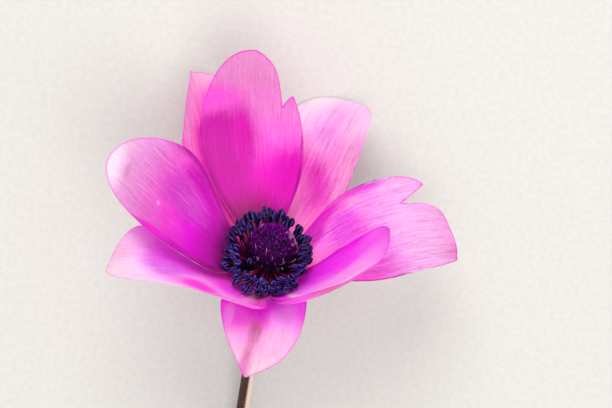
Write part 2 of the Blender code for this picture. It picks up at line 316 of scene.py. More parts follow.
def sheetPoints(petal, v, t):
    # middle surface of a petal in mm round its own receptacle, with its flat pattern
    bendSteps, lengthSteps = 10, 80
    isLeft = v > 0
    width, station, tipPower, tipShape = (np.where(isLeft, a, b) for a, b in zip(petal["left"], petal["right"]))
    top = station + (1 - station) * np.clip(1 - np.abs(v) ** tipShape, 0, 1) ** (1 / tipPower)
    if "notch" in petal:
        centre, depth, lobe, fade = petal["notch"]
        away = (v - centre) / lobe  # positive over the small lobe
        top = top * (1 - depth * np.where(away > 0, np.clip(1 - away, 0, 1), np.exp(away * abs(lobe) / fade)))
    if "corner" in petal:
        centre, rise, wide = petal["corner"]
        top = top * (1 + rise * np.exp(-((v - centre) / wide) ** 2))
    u = t * top
    swell = np.sin(math.pi / 2 * np.clip(u / station, 0, 1)) ** petalMake["lowPartPower"]
    claw = np.where(isLeft, petal.get("clawLeft", petal["claw"]), petal.get("clawRight", petal["claw"]))
    half = claw + (width - claw) * swell

    none = (0, 0, 0)
    cup = np.where(isLeft, along(petal["cupLeft"], u), along(petal["cupRight"], u))
    roll = np.where(isLeft, along(petal.get("rollLeft", none), u), along(petal.get("rollRight", none), u))
    part = v[..., None] * (np.arange(bendSteps) + 0.5) / bendSteps
    angle = np.radians(cup[..., None] * part + roll[..., None] * part ** petalMake["rollPower"])
    across = v * half * np.cos(angle).mean(-1)
    lift = v * half * np.sin(angle).mean(-1)
    lift = lift - petal.get("groove", 0) * np.exp(-(v / petalMake["grooveWidth"]) ** 2) * np.clip(u * 4, 0, 1)

    steps = np.linspace(0, 1, lengthSteps + 1)

    def heading(at):
        rise = np.radians(along(petal["rise"], at))
        bearing = np.radians(petal["turn"] + petal["sway"] * at ** petalMake["swayPower"])
        flat = np.cos(rise)
        return np.stack([flat * np.cos(bearing), flat * np.sin(bearing), np.sin(rise)], -1), bearing

    ways = heading(steps)[0]
    line = np.cumsum((ways[1:] + ways[:-1]) / 2, 0) * petal["length"] / lengthSteps
    line = np.concatenate([np.zeros((1, 3)), line])
    turn, foot = math.radians(petal["turn"]), petalMake["baseRadius"]
    line = line + (foot * math.cos(turn), foot * math.sin(turn), petal["level"])
    centre = np.stack([np.interp(u, steps, line[:, k]) for k in range(3)], -1)
    way, bearing = heading(u)
    side = np.stack([-np.sin(bearing), np.cos(bearing), 0 * bearing], -1)
    normal = np.cross(way, side)
    lean = np.radians(petal["lean"] + petal["twist"] * u)[..., None]
    leanedSide = side * np.cos(lean) + normal * np.sin(lean)
    leanedNormal = normal * np.cos(lean) - side * np.sin(lean)
    points = centre + leanedSide * across[..., None] + leanedNormal * lift[..., None]
    return points, u, np.stack([v * half, u * petal["length"]], -1)


def petalColumns(petal):
    s = np.linspace(-1, 1, petalMake["columns"] + 1)
    even, crowded = petalMake["columnMix"]
    v = even * s + crowded * np.sin(math.pi / 2 * s)
    if "notch" in petal:
        v = np.concatenate([v, petal["notch"][0] + np.array(petalMake["notchColumns"])])
    return np.sort(v)


# where the receptacle is, from the middles of the CAD petals' boxes
offsets = []
for name, petal in petals.items():
    v, t = np.meshgrid(petalColumns(petal), np.linspace(0, 1, 61), indexing="ij")
    spot = sheetPoints(petal, v, t)[0].reshape(-1, 3) @ headArray.T * mm
    low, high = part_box(name)
    offsets.append((np.array(low) + np.array(high)) / 2 - (spot.min(0) + spot.max(0)) / 2)
headPlace = Vector(np.median(offsets, 0))
print("receptacle at", [round(x * 1000, 2) for x in headPlace])


def toWorld(points):
    # from mm round the receptacle to metres in the model's frame
    return np.asarray(points, float) @ headArray.T * mm + np.array(headPlace)


# the camera looks down into the bloom from its front
view = {
    "tilt": 40.0, "roll": -11.2, "distance": 0.34, "lens": 100.0, "aimAcross": -39 / 1700, "aimDown": -68 / 1700,
    "clipStart": 0.01, "clipEnd": 20,
}

tilt, roll = math.radians(view["tilt"]), math.radians(view["roll"])
back = headTurn @ Vector((0, -math.sin(tilt), math.cos(tilt)))
right = headTurn @ Vector((math.cos(roll), -math.sin(roll) * math.cos(tilt), -math.sin(roll) * math.sin(tilt)))
up = headTurn @ Vector((math.sin(roll), math.cos(roll) * math.cos(tilt), math.cos(roll) * math.sin(tilt)))
basis = Matrix((right, up, back)).transposed()
aim = Vector((view["aimAcross"], view["aimDown"], -1)).normalized()
cameraData = bpy.data.cameras.new("camera")
cameraData.lens = view["lens"]
cameraData.clip_start, cameraData.clip_end = view["clipStart"], view["clipEnd"]
camera = bpy.data.objects.new("camera", cameraData)
camera.matrix_world = Matrix.Translation(headPlace + back * view["distance"]) @ (
    basis @ aim.rotation_difference(Vector((0, 0, -1))).to_matrix()).to_4x4()
scene.collection.objects.link(camera)
scene.camera = camera

petalFinish = {
    "veins": (24.0, 1.8), "hairlines": (62.0, 5.0), "dashes": (52.0, 17.0),  # how many across and along a petal
    "cells": 1500.0, "clouds": 170, "wander": 350, "wanderSize": 0.02,
    "darkPower": 1.85, "lightPower": 0.6, "cloudPower": 1.3, "cellPower": 0.75,
    "footLine": (255, 128, 138), "midrib": (196, 10, 96), "rim": (226, 8, 190),
    "roughness": 0.48, "sheen": 0.02, "glow": 0.25, "glowDepth": 0.0005, "bump": 0.2, "bumpDepth": 0.00012,
}


def petalMaterial():
    material, net = newMaterial("anemonePetal")
    plan = net.add("ShaderNodeUVMap", {"uv_map": "petalPlan"}, {}, "UV")
    across = net.add("ShaderNodeSeparateXYZ", {}, {"Vector": plan}, "X")
    up = net.other(across, "Y")
    number = net.attribute("petalNumber")
    tone = net.attribute("petalTone", "Color")
    veining = net.attribute("veining")
    rim = net.attribute("rimDistance")
    inObject = net.inObject()
    bent = across + net.noise(inObject, petalFinish["wander"], 2) * petalFinish["wanderSize"]

    def streaks(name, depth, detail, roughness):
        # noise stretched along the petal, different on each one
        many, few = petalFinish[name]
        return net.noise(net.vector(bent * many, up * few, depth), 1, detail, roughness)

    veins = streaks("veins", number, 2, 0.55)
    hairlines = streaks("hairlines", number, 2, 0.6)
    dashes = streaks("dashes", number + 3, 1, 0.5)
    cells = net.noise(inObject, petalFinish["cells"], 1)
    clouds = net.noise(inObject, petalFinish["clouds"], 3, 0.55)

    # thin lines where the stretched noise crosses its middle
    thread = (veins - 0.5).math("ABSOLUTE").between(0.035, 0.004)
    darkVein = thread * 0.4 + hairlines.between(0.54, 0.66) * 0.25 + dashes.between(0.6, 0.68) * 0.3
    lightVein = hairlines.between(0.47, 0.36) * 0.5
    colour = net.mixColour(darkVein * veining, tone, net.deeper(tone, petalFinish["darkPower"]))
    colour = net.mixColour(lightVein * veining, colour, net.deeper(tone, petalFinish["lightPower"]))
    cloud, cell = clouds.between(0.55, 0.75) * 0.35, cells.between(0.4, 0.65) * 0.22
    colour = net.mixColour(cloud, colour, net.deeper(colour, petalFinish["cloudPower"]))
    colour = net.mixColour(cell, colour, net.deeper(colour, petalFinish["cellPower"]))
    footLines = hairlines.between(0.5, 0.58) * (1 - up.between(0.14, 0.36)) * net.attribute("footLines")
    colour = net.mixColour(footLines, colour, paint(*petalFinish["footLine"]))
    fold = (across - 0.5).math("ABSOLUTE").between(0.014, 0.003) * (1 - up.between(0.16, 0.5))
    colour = net.mixColour(fold * net.attribute("midrib"), colour, paint(*petalFinish["midrib"]))
    # a saturated magenta line along the edge, painted as the glow of light through the petal's thin edge
    edge = (1 - rim.between(0.1, 0.5)) * net.attribute("paintedRimGlow")
    colour = net.mixColour(edge, colour, paint(*petalFinish["rim"]))

    height = veins * 0.55 + hairlines * 0.4 + cells * 0.12
    finishMaterial(net, {
        "Base Color": colour, "Roughness": petalFinish["roughness"], "Specular IOR Level": 0.2,
        "Subsurface Weight": petalFinish["glow"], "Subsurface Radius": (1.0, 0.6, 1.0),
        "Subsurface Scale": petalFinish["glowDepth"], "Sheen Weight": petalFinish["sheen"], "Sheen Roughness": 0.4,
        "Normal": net.bump(height, petalFinish["bump"], petalFinish["bumpDepth"])})
    return material


def petalShades(petal, v, u):
    places, shades = petalMake["shadePlaces"], petal["shades"]
    # painted shade on the foot, under the stamens
    if "shadedFoot" in petal:
        places, shades = petalMake["footShadowPlaces"] + places, petalMake["footShadowColours"] + shades
    table = np.array([srgb(*shade) for shade in shades])
    colour = np.stack([np.interp(u, places, table[:, k]) for k in range(3)], -1)
    for dye, atAcross, atAlong, wide, long in petal["patches"]:
        away = np.sqrt(((v - atAcross) / wide) ** 2 + ((u - atAlong) / long) ** 2)
        cover = (1 - smooth(petalMake["patchCore"], petalMake["patchEdge"], away))[..., None]
        colour = colour * (1 - cover) + np.array(srgb(*dye)) * cover
    return colour


def waves(v, u, source, lowest, highest, drift):
    # soft ridges that run up the petal, from a few cosines
    total = 0
    for count in range(7):
        pitch = source.uniform(lowest, highest)
        wave = np.cos(pitch * v + source.uniform(0, 6.3) + drift * source.uniform(-1, 1) * u)
        total = total + wave / (1 + count * 0.3)
    return total / 3


def buildPetal(name, petal, number, material):
    source = random.Random(petalMake["seed"] + number)
    across, rows = petalColumns(petal), petalMake["rows"] + 1
    columns = len(across)
    v, t = np.meshgrid(across, 1 - (1 - np.linspace(0, 1, rows)) ** petalMake["rowCrowding"], indexing="ij")
    middle, u, flat = sheetPoints(petal, v, t)
    normal = np.cross(np.gradient(middle, axis=1), np.gradient(middle, axis=0))
    normal /= np.linalg.norm(normal, axis=-1, keepdims=True) + 1e-12

    # distance to the outline, in the petal's flat pattern
    outline = np.concatenate([flat[0], flat[:, -1], flat[-1]])
    gaps = np.linalg.norm(flat.reshape(-1, 2)[:, None, :] - outline[None, ::2], axis=-1)
    rim = np.min(gaps, axis=1).reshape(v.shape)
    rim[0], rim[-1], rim[:, -1] = 0, 0, 0

    ridges = waves(v, u, source, *petalMake["veinPitch"]) * smooth(0.02, 0.3, u) * smooth(0, 1.2, rim)
    ruffle = waves(v, u, source, *petalMake["rufflePitch"]) * smooth(0.3, 1, u) * (1 - smooth(0, 7, rim))
    middle = middle + normal * (petalMake["veinHeight"] * ridges + petalMake["ruffle"] * ruffle)[..., None]
    thin = petalMake["rimThickness"]
    thick = thin + (petalMake["bodyThickness"] - thin) * smooth(0, petalMake["rimWidth"], rim)
    inner = toWorld((middle + normal * thick[..., None] / 2).reshape(-1, 3))
    outer = toWorld((middle - normal * thick[..., None] / 2).reshape(-1, 3))
    points = np.concatenate([inner, outer])
    points[:, 2] = np.maximum(points[:, 2], petalMake["floorGap"])

    at = np.arange(columns * rows).reshape(columns, rows)
    quad = np.stack([at[:-1, :-1], at[:-1, 1:], at[1:, 1:], at[1:, :-1]], -1).reshape(-1, 4)[:, ::-1]
    below = quad[:, ::-1] + columns * rows
    loop = np.concatenate([at[:-1, 0], at[-1, :-1], at[:0:-1, -1], at[0, :0:-1]])
    following = np.roll(loop, -1)
    wall = np.stack([loop, loop + columns * rows, following + columns * rows, following], -1)
    piece = newPiece(name + "_soft", points, np.concatenate([quad, below, wall]).tolist(), material)
    mesh = piece.data

    inside = petalShades(petal, v, u).reshape(-1, 3)
    pale = petal.get("outerPale", petalMake["outerPale"])
    # the outer face gets none of the painted shade at the foot
    outside = petalShades(petal, v, np.maximum(u, petalMake["outerFoot"])).reshape(-1, 3)  # no dark foot outside
    outside = outside * (1 - pale) + np.array(srgb(*petalMake["outerShade"])) * pale
    setColours(mesh, "petalTone", np.concatenate([inside, outside]))
    setNumbers(mesh, "petalNumber", np.full(len(points), number * petalMake["noiseShift"]))
    setNumbers(mesh, "veining", np.repeat([petal["veining"], petalMake["outerVeining"]], len(inside)))
    setNumbers(mesh, "rimDistance", np.tile(rim.ravel(), 2))
    for label in ("footLines", "midrib", "paintedRimGlow"):
        setNumbers(mesh, label, np.full(len(points), petal.get(label, 0)))
    setPlan(mesh, "petalPlan", np.tile(np.stack([v * 0.5 + 0.5, u], -1).reshape(-1, 2), (2, 1)))
    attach(piece, "root")
    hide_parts(name)


petalSkin = petalMaterial()
for number, (name, petal) in enumerate(petals.items()):
    buildPetal(name, petal, number, petalSkin)
print("petals made")


# Geometry Nodes for the stamens, the pistil head and the stem
def newTree(name, inputs):
    # a Geometry Nodes tree with named inputs, each (name, kind, value)
    tree = bpy.data.node_groups.new(name, "GeometryNodeTree")
    tree.interface.new_socket("Geometry", in_out="INPUT", socket_type="NodeSocketGeometry")
    tree.interface.new_socket("Geometry", in_out="OUTPUT", socket_type="NodeSocketGeometry")
    for label, kind, value in inputs:
        socket = tree.interface.new_socket(label, in_out="INPUT", socket_type="NodeSocket" + kind)
        if value is not None:
            socket.default_value = value
    net = Net(tree)
    entry = net.add("NodeGroupInput")
    return net, lambda label: net.other(entry, label)


def endTree(net, geometry, material):
    real = net.add("GeometryNodeRealizeInstances", {}, {"Geometry": geometry})
    painted = net.add("GeometryNodeSetMaterial", {}, {"Geometry": real, "Material": material})
    output = net.tree.nodes.new("NodeGroupOutput")
    net.tree.links.new(painted.socket, output.inputs[0])
    return net.tree


def grow(name, guide, tree, values):
    # runs a tree on a guide object and keeps the result as a plain mesh piece
    modifier = guide.modifiers.new(name, "NODES")
    modifier.node_group = tree
    labels = {item.name: item.identifier for item in tree.interface.items_tree if item.in_out == "INPUT"}
    for label, value in values.items():
        modifier[labels[label]] = value
    graph = bpy.context.evaluated_depsgraph_get()
    mesh = bpy.data.meshes.new_from_object(guide.evaluated_get(graph), preserve_all_data_layers=True, depsgraph=graph)
    mesh.name = name
    mesh.shade_smooth()
    guide.modifiers.remove(modifier)
    piece = bpy.data.objects.new(name, mesh)
    scene.collection.objects.link(piece)
    return piece


def drop(*helpers):
    for helper in helpers:
        bpy.data.objects.remove(helper, do_unlink=True)


def bristleTree():
    net, given = newTree("bristles", [
        ("Bristle", "Object", None), ("Count per area", "Float", 1e6), ("Length", "Float", 1.0),
        ("Length spread", "Float", 0.3), ("Lean", "Float", 0.3), ("Seed", "Int", 1), ("Skin", "Material", None)])
    scatter = net.add("GeometryNodeDistributePointsOnFaces", {"distribute_method": "RANDOM"}, {
        "Mesh": given("Geometry"), "Density": given("Count per area"), "Seed": given("Seed")}, "Points")
    upright = net.other(scatter, "Rotation")
    tipX, tipY = (net.random(given("Lean") * -1, given("Lean"), given("Seed") + k) for k in (1, 2))
    spin = net.random(0.0, 6.283, given("Seed") + 3)
    leaning = net.add("FunctionNodeEulerToRotation", {}, {"Euler": net.vector(tipX, tipY, spin)})
    turned = net.add("FunctionNodeRotateRotation", {"rotation_space": "LOCAL"}, {
        "Rotation": upright, "Rotate By": leaning})
    size = net.random(given("Length") * (1 - given("Length spread")), given("Length") * (1 + given("Length spread")),
                      given("Seed") + 4)
    tint = net.random(0.0, 1.0, given("Seed") + 5)
    bristle = net.add("GeometryNodeObjectInfo", {}, {"Object": given("Bristle")}, "Geometry")
    placed = net.add("GeometryNodeInstanceOnPoints", {}, {
        "Points": scatter, "Instance": bristle, "Rotation": turned, "Scale": net.vector(size, size, size)})
    return endTree(net, net.store(placed, "INSTANCE", "tint", tint), given("Skin"))


def spike(name, length, radius, bow, knob=0.0):
    # a thin tapered hair that stands on the origin and bows to one side
    sides, steps, taper = 3, 4, 0.75
    points, heights = [], []
    for step in range(steps):
        part = step / (steps - 1)
        wide = radius * (1 - taper * part) * (1 + knob * part ** 4)
        for side in range(sides):
            angle = 2 * math.pi * side / sides
            points.append((wide * math.cos(angle) + bow * part ** 2, wide * math.sin(angle), length * part))
            heights.append(part)
    faces, at = bandFaces(steps, sides)[:2]
    piece = newPiece(name, points, faces + [at[0].tolist()[::-1], at[-1].tolist()])
    setNumbers(piece.data, "alongHair", heights)
    return piece


bristles = bristleTree()

# stamens: a dark two-lobed anther on each thin filament. A whorl is (foot's height, reach, height), extras are
# (inner value, change to the outer one), and droops, pulls and leans are (start, change)
stamenMake = {
    "seed": 7, "perWhorl": 16, "whorls": ((4.2, 7.0, 8.6), (3.45, 8.3, 7.1), (2.7, 9.5, 5.7)), "steps": 9,
    "outerReach": 9.5, "whorlWidth": 2.5, "leanOut": (0.55, 0.5), "leanUp": (0.83, -0.2), "bowOut": 1.1, "bowDown": 0.2,
    "extraFoot": (4.2, -1.4), "extraReach": (6.6, 2.9), "extraHeight": (9.0, -3.1),
    "extras": 60, "extraShares": (0.1, 0.4, 0.7, 0.95), "extraTurn": 0.3,
    "backAzimuth": 95, "backShorter": (0.6, 2.6), "backPull": 0.4,
    "frontExtras": 34, "frontShares": (0.15, 0.5, 0.8, 1.0), "frontFrom": 205, "frontArc": 125,
    "footRadius": 3.3, "filamentRadius": 0.15, "filamentSides": 6,
    "lift": 2.3, "liftSpread": 42.0, "liftAzimuths": (97.0, 184.0, 322.0), "liftPull": 0.25,
    "frontAzimuth": 262.0, "droopPower": 1.5, "droopOut": (0.9, 1.1), "droopDown": (0.6, 0.9), "droopLift": 0.8,
    "rightAzimuth": 5, "rightPull": (1.1, -0.7),
    "reachJitter": 0.35, "heightJitter": 0.45, "turnJitter": 3.5,
    "fallenFoot": (-2.4, -2.4, 4.4), "fallenTip": (-3.9, -3.9, 5.9), "fallenLean": (0.15, 0.2, 0.95),
}
antherMake = {
    "length": 2.05, "width": 1.5, "depth": 1.15, "rings": 9, "sides": 16, "sizeSpread": 0.12, "lean": 0.3,
    "seamDepth": 0.42, "seamWidth": 0.24, "backDepth": 0.06, "backWidth": 0.2, "highlightBand": 0.55, "highlightWidth": 0.14,
}


def stamenPath(azimuth, footHeight, reach, height):
    # the filament's line, the anther's direction and how much it droops
    make = stamenMake
    lift = sum(make["lift"] * math.exp(-(((azimuth - at + 180) % 360 - 180) / make["liftSpread"]) ** 2)
               for at in make["liftAzimuths"])
    # the front ones droop outwards over the gap between the petals
    droop = max(0.0, math.cos(math.radians(azimuth - make["frontAzimuth"]))) ** make["droopPower"]
    inner = (make["outerReach"] - reach) / make["whorlWidth"]  # 0 in the outer whorl, 1 in the inner one
    lift = lift * (1 - make["droopLift"] * droop)
    angle = math.radians(azimuth)
    out, up = Vector((math.cos(angle), math.sin(angle), 0)), Vector((0, 0, 1))
    foot = out * make["footRadius"] + up * footHeight
    rightward = max(0.0, math.cos(math.radians(azimuth - make["rightAzimuth"])))
    push, fall, pull = (make[each][0] + make[each][1] * inner for each in ("droopOut", "droopDown", "rightPull"))
    reach = reach - make["liftPull"] * lift + droop * push - rightward * pull
    middle = out * reach + up * (height + lift - droop * fall)
    leanOut, leanUp = (make[each][0] + make[each][1] * droop for each in ("leanOut", "leanUp"))
    axis = (out * leanOut + up * leanUp).normalized()
    base = middle - axis
    bend = foot.lerp(base, 0.5) + out * make["bowOut"] - up * make["bowDown"]
    line = [foot * (1 - s) ** 2 + bend * (2 * s * (1 - s)) + base * s * s for s in np.linspace(0, 1, make["steps"])]
    return line, axis, droop


def extraStamen(azimuth, share, behind=0.0):
    foot, reach, height = (stamenMake[each][0] + stamenMake[each][1] * share
                           for each in ("extraFoot", "extraReach", "extraHeight"))
    return azimuth, foot, reach - stamenMake["backPull"] * behind, height - behind


def stamenSets():
    # each is (points, anther direction, how pale the anther is, how red the filament is, anther size); the paleness
    # is painted front light with some tone that varies at random
    make = stamenMake
    source = random.Random(make["seed"])
    places = [(360 / make["perWhorl"] * (k + whorl / 3), *sizes)
              for whorl, sizes in enumerate(make["whorls"]) for k in range(make["perWhorl"])]
    for k in range(make["extras"]):
        share = source.choice(make["extraShares"])
        azimuth = 360 / make["extras"] * (k + source.uniform(-make["extraTurn"], make["extraTurn"]))
        toBack = max(0.0, math.cos(math.radians(azimuth - make["backAzimuth"])))
        places.append(extraStamen(azimuth, share, toBack * source.uniform(*make["backShorter"])))
    for k in range(make["frontExtras"]):
        share = source.choice(make["frontShares"])
        azimuth = make["frontFrom"] + make["frontArc"] * (k + source.uniform(0.2, 0.8)) / make["frontExtras"]
        places.append(extraStamen(azimuth, share))
    made = []
    for place in places:
        jitters = (make["turnJitter"], 0, make["reachJitter"], make["heightJitter"])
        moved = [value + source.uniform(-1, 1) * size if size else value for value, size in zip(place, jitters)]
        line, axis, droop = stamenPath(*moved)
        # front anthers get more paleness, painted as if the light falls on them from the front
        made.append((line, axis, min(1, 0.3 * source.random() + 0.7 * droop), source.random() ** 3, 1 - 0.03 * droop))
    # one has fallen inwards on the dome
    line = [Vector(make["fallenFoot"]).lerp(Vector(make["fallenTip"]), s) for s in np.linspace(0, 1, make["steps"])]
    made.append((line, Vector(make["fallenLean"]).normalized(), 0.5, 0.2, 0.8))
    return made


def antherShape():
    # two lobes side by side, each with the seam where it splits
    make = antherMake
    points, highlightBands = [], []
    rings, sides = make["rings"], make["sides"]
    for ring in range(1, rings):
        part = ring / rings
        fat = math.sin(math.pi * part) ** 0.62 * (1 - 0.12 * part)
        for side in range(sides):
            angle = 2 * math.pi * side / sides
            front = min(abs(angle - math.pi / 2), abs(angle - 3 * math.pi / 2)) / (math.pi / 2)
            seam = (1 - make["seamDepth"] * math.exp(-(front / make["seamWidth"]) ** 2)
                    - make["backDepth"] * math.exp(-((1 - front) / make["backWidth"]) ** 2))
            points.append((make["width"] / 2 * fat * seam * math.cos(angle),
                           make["depth"] / 2 * fat * seam * math.sin(angle), make["length"] * (part - 0.03)))
            # a band round each lobe where a highlight is painted
            highlightShare = math.exp(-((front - make["highlightBand"]) / make["highlightWidth"]) ** 2)
            highlightBands.append(highlightShare * math.sin(math.pi * part) ** 0.5)
    points += [(0, 0, 0.02), (0, 0, make["length"] * 0.95)]
    faces, at, nextAt = bandFaces(rings - 1, sides)
    for side in range(sides):
        faces.append((len(points) - 2, nextAt[0, side], at[0, side]))
        faces.append((len(points) - 1, at[-1, side], nextAt[-1, side]))
    piece = newPiece("antherShape", np.array(points) * mm, faces)
    setNumbers(piece.data, "highlightBand", highlightBands + [0, 0])
    return piece


def filamentTree():
    net, given = newTree("filaments", [("Radius", "Float", 0.0002), ("Sides", "Int", 6), ("Skin", "Material", None)])
    line = net.add("GeometryNodeMeshToCurve", {}, {"Mesh": given("Geometry")})
    share = net.add("GeometryNodeSplineParameter", {}, {}, "Factor")
    tapered = net.add("GeometryNodeSetCurveRadius", {}, {"Curve": line, "Radius": 1.15 - share * 0.45})
    marked = net.store(tapered, "POINT", "alongHair", share)
    ring = net.add("GeometryNodeCurvePrimitiveCircle", {}, {"Resolution": given("Sides"), "Radius": given("Radius")})
    tube = net.add("GeometryNodeCurveToMesh", {}, {"Curve": marked, "Profile Curve": ring, "Fill Caps": True})
    return endTree(net, tube, given("Skin"))


def antherTree():
    net, given = newTree("anthers", [
        ("Anther", "Object", None), ("Size spread", "Float", 0.12), ("Lean", "Float", 0.3), ("Seed", "Int", 3),
        ("Skin", "Material", None)])
    line = net.add("GeometryNodeMeshToCurve", {}, {"Mesh": given("Geometry")})
    tip = net.add("GeometryNodeCurveEndpointSelection", {}, {"Start Size": 0, "End Size": 1})
    way = net.stored("FLOAT_VECTOR", "antherAxis")
    aimed = net.add("FunctionNodeAlignRotationToVector", {"axis": "Z"}, {"Vector": way})
    spin = net.random(0.0, 6.283, given("Seed"))
    leanX, leanY = (net.random(given("Lean") * -1, given("Lean"), given("Seed") + k) for k in (1, 2))
    small = net.add("FunctionNodeEulerToRotation", {}, {"Euler": net.vector(leanX, leanY, spin)})
    turned = net.add("FunctionNodeRotateRotation", {"rotation_space": "LOCAL"}, {"Rotation": aimed, "Rotate By": small})
    size = net.random(1 - given("Size spread"), 1 + given("Size spread"), given("Seed") + 3)
    size = size * net.stored("FLOAT", "antherSize")
    shape = net.add("GeometryNodeObjectInfo", {}, {"Object": given("Anther")}, "Geometry")
    placed = net.add("GeometryNodeInstanceOnPoints", {}, {
        "Points": line, "Selection": tip, "Instance": shape, "Rotation": turned, "Scale": net.vector(size, size, size)})
    return endTree(net, placed, given("Skin"))


def guideLines(name, lines, extra=None):
    # open edge chains that a tree turns into tubes, with a number or a vector for each line
    points, edges, owner = [], [], []
    for k, line in enumerate(lines):
        start = len(points)
        points += [tuple(p) for p in toWorld([tuple(q) for q in line])]
        edges += [(start + i, start + i + 1) for i in range(len(line) - 1)]
        owner += [k] * len(line)
    mesh = bpy.data.meshes.new(name)
    mesh.from_pydata(points, edges, [])
    for label, values in (extra or {}).items():
        spread = np.array(values, np.float32)[owner]
        if spread.ndim == 1:
            setNumbers(mesh, label, spread)
        else:
            mesh.attributes.new(label, "FLOAT_VECTOR", "POINT").data.foreach_set("vector", spread.ravel())
    guide = bpy.data.objects.new(name, mesh)
    scene.collection.objects.link(guide)
    return guide


def antherMaterial():
    material, net = newMaterial("anther")
    inObject = net.inObject()
    ripeAndLit = net.attribute("ripeAndLit")
    grains = net.noise(inObject, 9000, 2, 0.6)
    clouds = net.noise(inObject, 900, 2)
    # paler on the front anthers: painted light, with some tone that varies at random
    colour = net.mixColour(ripeAndLit, paint(4, 0, 22), paint(11, 0, 46))
    colour = net.mixColour(clouds.between(0.45, 0.65) * 0.5, colour, paint(26, 0, 56))
    # painted highlight along the band, stronger on the front anthers
    highlightBand = net.attribute("highlightBand") * grains.between(0.32, 0.55) * (0.35 + ripeAndLit * 0.65)
    colour = net.mixColour(highlightBand, colour, paint(138, 114, 255))
    # pale pollen specks, more of them on the front anthers with the painted front light
    colour = net.mixColour(grains.between(0.6, 0.7) * (0.03 + ripeAndLit * 0.25), colour, paint(170, 160, 250))  # pollen
    finishMaterial(net, {
        "Base Color": colour, "Roughness": 0.22, "Specular IOR Level": 0.25, "Specular Tint": (0.6, 0.42, 1.0, 1),
        "Normal": net.bump(grains, 0.4, 0.00005)})
    return material


def filamentMaterial():
    material, net = newMaterial("filament")
    inObject = net.inObject()
    share, red = net.attribute("alongHair"), net.attribute("redness")
    colour = net.mixColour(red, paint(16, 0, 26), paint(176, 8, 92))
    colour = net.mixColour(share.between(0.75, 1.0) * 0.5, colour, paint(34, 16, 80))
    finishMaterial(net, {"Base Color": colour, "Roughness": 0.5, "Specular IOR Level": 0.15,
                         "Normal": net.bump(net.noise(inObject, 6000), 0.2, 0.00003)})
    return material


stamens = stamenSets()
lines, axes, ripeAndLitValues, redness, antherSizes = zip(*stamens)
stamenGuide = guideLines("stamenGuide", lines, {
    "antherAxis": [tuple(headTurn @ axis) for axis in axes], "ripeAndLit": ripeAndLitValues, "redness": redness,
    "antherSize": antherSizes})
antherModel = antherShape()
filaments = grow("filaments", stamenGuide, filamentTree(), {
    "Radius": stamenMake["filamentRadius"] * mm, "Sides": stamenMake["filamentSides"], "Skin": filamentMaterial()})
anthers = grow("anthers", stamenGuide, antherTree(), {
    "Anther": antherModel, "Size spread": antherMake["sizeSpread"], "Lean": antherMake["lean"],
    "Skin": antherMaterial()})
drop(antherModel, stamenGuide)
stamenNodes = [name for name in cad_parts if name.startswith("stamen_")]
for piece in (filaments, anthers):
    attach(piece, "root")
    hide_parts(*stamenNodes)
print("stamens made", len(stamens))

# pistil head: a dome of tiny fruits under a fur of short styles, brighter from the lower crown height up to the
# higher one: painted light on the top of the dome and painted shade down its sides
pistilMake = {
    "radius": 4.5, "low": 4.6, "middle": 7.2, "top": 11.5, "stalkRadius": 2.4, "stalkLow": 2.3, "stalkHigh": 4.3,
    "around": 72, "rise": 30, "bareRings": 4, "bumpAround": 26, "bumpUp": 22, "bumpHeight": 0.018,
    "styleLength": 0.62, "styleRadius": 0.05, "styleBow": 0.25, "styleKnob": 1.2, "stylesPerArea": 15.0,
    "lengthSpread": 0.35, "lean": 0.45, "seed": 11, "litCrownLow": 7.8, "litCrownHigh": 10.2,
}


def domePoints(angle, height):
    # angle round the axis and angle up from the widest part
    make = pistilMake
    reach = np.where(height < 0, make["middle"] - make["low"], make["top"] - make["middle"])
    bumps = 1 + make["bumpHeight"] * np.cos(angle * make["bumpAround"] + 6 * height) * np.cos(height * make["bumpUp"])
    ring = make["radius"] * np.cos(height) * bumps
    return np.stack([ring * np.cos(angle), ring * np.sin(angle), make["middle"] + reach * np.sin(height) * bumps], -1)


def pistilMaterial(name, base, shadowTip, tip):
    material, net = newMaterial(name)
    inObject = net.inObject()
    share, tint = net.attribute("alongHair"), net.attribute("tint")
    clouds = net.noise(inObject, 350, 2)
    grain = net.noise(inObject, 5000, 2)
    # painted light and shade: styles high on the dome take the lit tip colour, those lower down the shadowTip colour
    litCrown = net.mixColour(net.attribute("litCrown"), paint(*shadowTip), paint(*tip))
    colour = net.mixColour(share.between(0.2, 1.0), paint(*base), litCrown)
    colour = net.mixColour(clouds.between(0.4, 0.62) * 0.5, colour, net.deeper(colour, 1.4))
    colour = net.mixColour(tint.between(0.955, 0.985) * share, colour, paint(196, 120, 210))  # a few pale styles
    finishMaterial(net, {"Base Color": colour, "Roughness": 0.6, "Specular IOR Level": 0.08,
                         "Normal": net.bump(grain, 0.3, 0.00004)})
    return material


# pale withered style tips that curl on the dome, as (azimuth, height, length, first heading, curl) in degrees
threadMake = {
    "radius": 0.034, "sides": 5, "steps": 8, "proud": 0.3, "lift": 0.5, "settle": 0.09,
    "places": (
        (20, 54, 2.6, 200, 260), (30, 46, 2.2, 90, 220), (8, 44, 2.4, 20, 240), (-4, 38, 2.0, 300, 200),
        (14, 32, 2.4, 130, 280), (18, 52, 1.8, 0, 200), (0, 42, 2.0, 250, -220), (-12, 12, 2.0, 10, 120),
        (168, 12, 2.2, 200, 60), (176, 24, 1.6, 150, 80), (150, 40, 1.5, 120, 60), (240, 8, 1.2, 60, 30),
        (246, 10, 1.0, 120, 30), (297, 10, 1.2, 20, 40), (303, 12, 1.4, 80, 20), (257, 34, 1.3, 80, 40),
        (225, 30, 1.1, 110, 40), (275, 22, 1.0, 60, 60), (320, 6, 1.8, 0, 20)),
}


def onDome(azimuth, height, proud):
    # a point just above the dome, both angles in degrees
    place = domePoints(np.array(math.radians(azimuth)), np.array(math.radians(height)))
    middle = np.array([0, 0, pistilMake["middle"]])
    return Vector(middle + (place - middle) * (1 + proud / pistilMake["radius"]))


